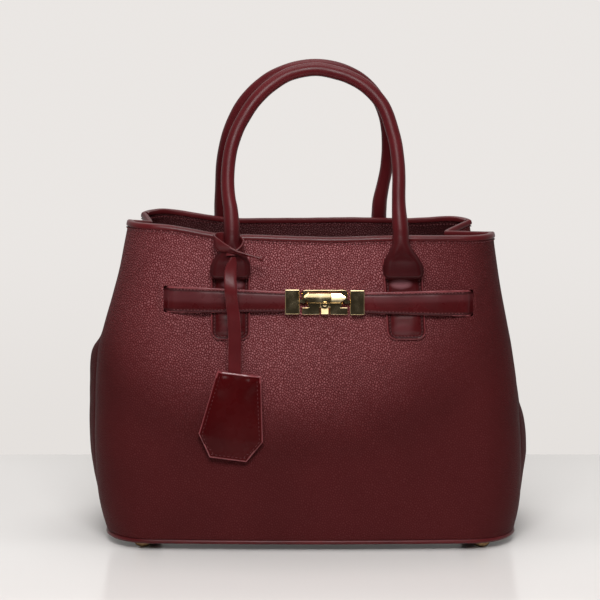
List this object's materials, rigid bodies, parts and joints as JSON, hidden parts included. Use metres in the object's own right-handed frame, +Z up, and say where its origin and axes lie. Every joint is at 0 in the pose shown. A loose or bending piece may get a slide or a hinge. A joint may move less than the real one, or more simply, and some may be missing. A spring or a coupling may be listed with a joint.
{
  "type": "tote bag",
  "caption": "Structured satchel-shaped leather tote with rolled handles, a front belt closed by a turning clasp, folded side gussets, base feet and a bell-shaped key fob on a lace.",
  "frame": {"origin": "middle of the bag's box, on the floor under its feet", "axes": "+X to the right as seen from the front, +Y to the back, +Z up through the open mouth"},
  "size_m": [0.343, 0.1544, 0.3691],
  "materials": {
    "pebbled_leather": "pebble-grained burgundy leather",
    "smooth_leather": "smooth glossy burgundy leather with painted edges",
    "lining_cloth": "woven lining",
    "stiffener_board": "matt board",
    "cotton_cord": "twisted cord",
    "gold_metal": "polished light gold plating",
    "plated_steel": "nickel plated"
  },
  "bodies": {
    "bag": {"back_facing": "pebbled_leather", "back_panel": "pebbled_leather", "back_rim_binding": "smooth_leather", "base_board": "stiffener_board", "base_panel": "pebbled_leather", "belt_left": "smooth_leather", "belt_right_anchor": "smooth_leather", "bottom_piping": "smooth_leather", "clasp_plate": "gold_metal", "clasp_post": "gold_metal", "clasp_washer": "plated_steel", "foot_back_left": "gold_metal", "foot_back_right": "gold_metal", "foot_front_left": "gold_metal", "foot_front_right": "gold_metal", "foot_washer_back_left": "plated_steel", "foot_washer_back_right": "plated_steel", "foot_washer_front_left": "plated_steel", "foot_washer_front_right": "plated_steel", "front_facing": "pebbled_leather", "front_panel": "pebbled_leather", "front_rim_binding": "smooth_leather", "handle_base_back_left": "smooth_leather", "handle_base_back_right": "smooth_leather", "handle_base_front_left": "smooth_leather", "handle_base_front_right": "smooth_leather", "handle_tab_back_left": "smooth_leather", "handle_tab_back_right": "smooth_leather", "handle_tab_front_left": "smooth_leather", "handle_tab_front_right": "smooth_leather", "lace_loop": "smooth_leather", "left_gusset": "pebbled_leather", "left_gusset_binding": "smooth_leather", "lining": "lining_cloth", "right_gusset": "pebbled_leather", "right_gusset_binding": "smooth_leather", "snap_socket": "gold_metal", "snap_stud": "gold_metal"},
    "front_handle": {"front_handle_wrap": "smooth_leather", "front_handle_core": "cotton_cord"},
    "back_handle": {"back_handle_wrap": "smooth_leather", "back_handle_core": "cotton_cord"},
    "lace": {"lace_strap": "smooth_leather"},
    "fob": {"fob_front_leaf": "smooth_leather", "fob_back_leaf": "smooth_leather"},
    "turn_bar": {"clasp_turn_bar": "gold_metal"},
    "left_belt_end": {"belt_left_end": "smooth_leather", "belt_cap_left": "gold_metal"},
    "right_belt": {"belt_right": "smooth_leather", "belt_cap_right": "gold_metal"}
  },
  "joints": [
    {"name": "front_handle_hinge", "type": "hinge", "parent": "bag", "child": "front_handle", "pos_m": [0.00438, -0.05841, 0.247], "axis": [1, 0, 0], "range_deg": [-12, 90]},
    {"name": "back_handle_hinge", "type": "hinge", "parent": "bag", "child": "back_handle", "pos_m": [-0.00612, 0.06159, 0.247], "axis": [-1, 0, 0], "range_deg": [-12, 90]},
    {"name": "lace_swing", "type": "hinge", "parent": "bag", "child": "lace", "pos_m": [-0.05662, -0.06773, 0.2255], "axis": [-1, 0, 0], "range_deg": [0, 60]},
    {"name": "fob_swing", "type": "hinge", "parent": "lace", "child": "fob", "pos_m": [-0.05542, -0.07335, 0.139], "axis": [0, 1, 0], "range_deg": [-20, 20]},
    {"name": "turn_bar_pivot", "type": "hinge", "parent": "bag", "child": "turn_bar", "pos_m": [0.01268, -0.06402, 0.18956], "axis": [0, 0.9918, -0.1281], "range_deg": [0, 90]},
    {"name": "left_belt_end_lift", "type": "hinge", "parent": "bag", "child": "left_belt_end", "pos_m": [-0.04062, -0.06038, 0.19155], "axis": [0, -0.1281, -0.9918], "range_deg": [0, 35]},
    {"name": "right_belt_lift", "type": "hinge", "parent": "bag", "child": "right_belt", "pos_m": [0.11338, -0.05618, 0.18921], "axis": [0, 0.1281, 0.9918], "range_deg": [0, 35]}
  ]
}
